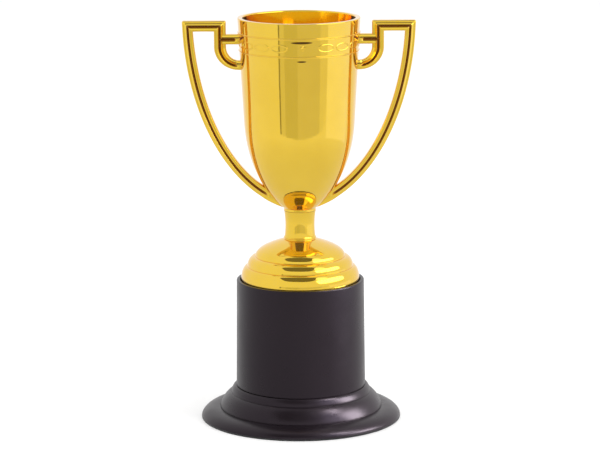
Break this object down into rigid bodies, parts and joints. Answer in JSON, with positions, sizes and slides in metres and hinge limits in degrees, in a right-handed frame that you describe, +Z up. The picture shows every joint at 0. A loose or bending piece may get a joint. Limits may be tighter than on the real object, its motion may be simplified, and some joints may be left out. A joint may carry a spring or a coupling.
{
  "type": "cup trophy",
  "caption": "Two-handled gold cup on a waisted stem and stepped round foot, standing in a black tubular plinth with a wide stepped base.",
  "frame": {"origin": "on the floor under the trophy's axis, at the centre of the base", "axes": "+Z up along the turned axis; the front faces -Y; the two handles lie along +X and -X"},
  "size_m": [0.0726, 0.063, 0.127],
  "materials": {
    "gold_plating": "vacuum-plated gold under a clear tinted lacquer, mirror gloss",
    "black_plastic": "satin moulded black plastic",
    "zinc_steel": "bright zinc plated",
    "pad_foam": "black felt"
  },
  "bodies": {
    "root": {"cup_bowl": "gold_plating", "handle_left": "gold_plating", "handle_right": "gold_plating", "stem": "gold_plating", "cup_foot": "gold_plating", "top_plate": "black_plastic", "plinth_tube": "black_plastic", "plinth_foot": "black_plastic", "base_pad": "pad_foam", "tie_rod": "zinc_steel", "bowl_washer": "zinc_steel", "bowl_nut": "zinc_steel", "base_washer": "zinc_steel", "base_nut": "zinc_steel"}
  },
  "joints": []
}
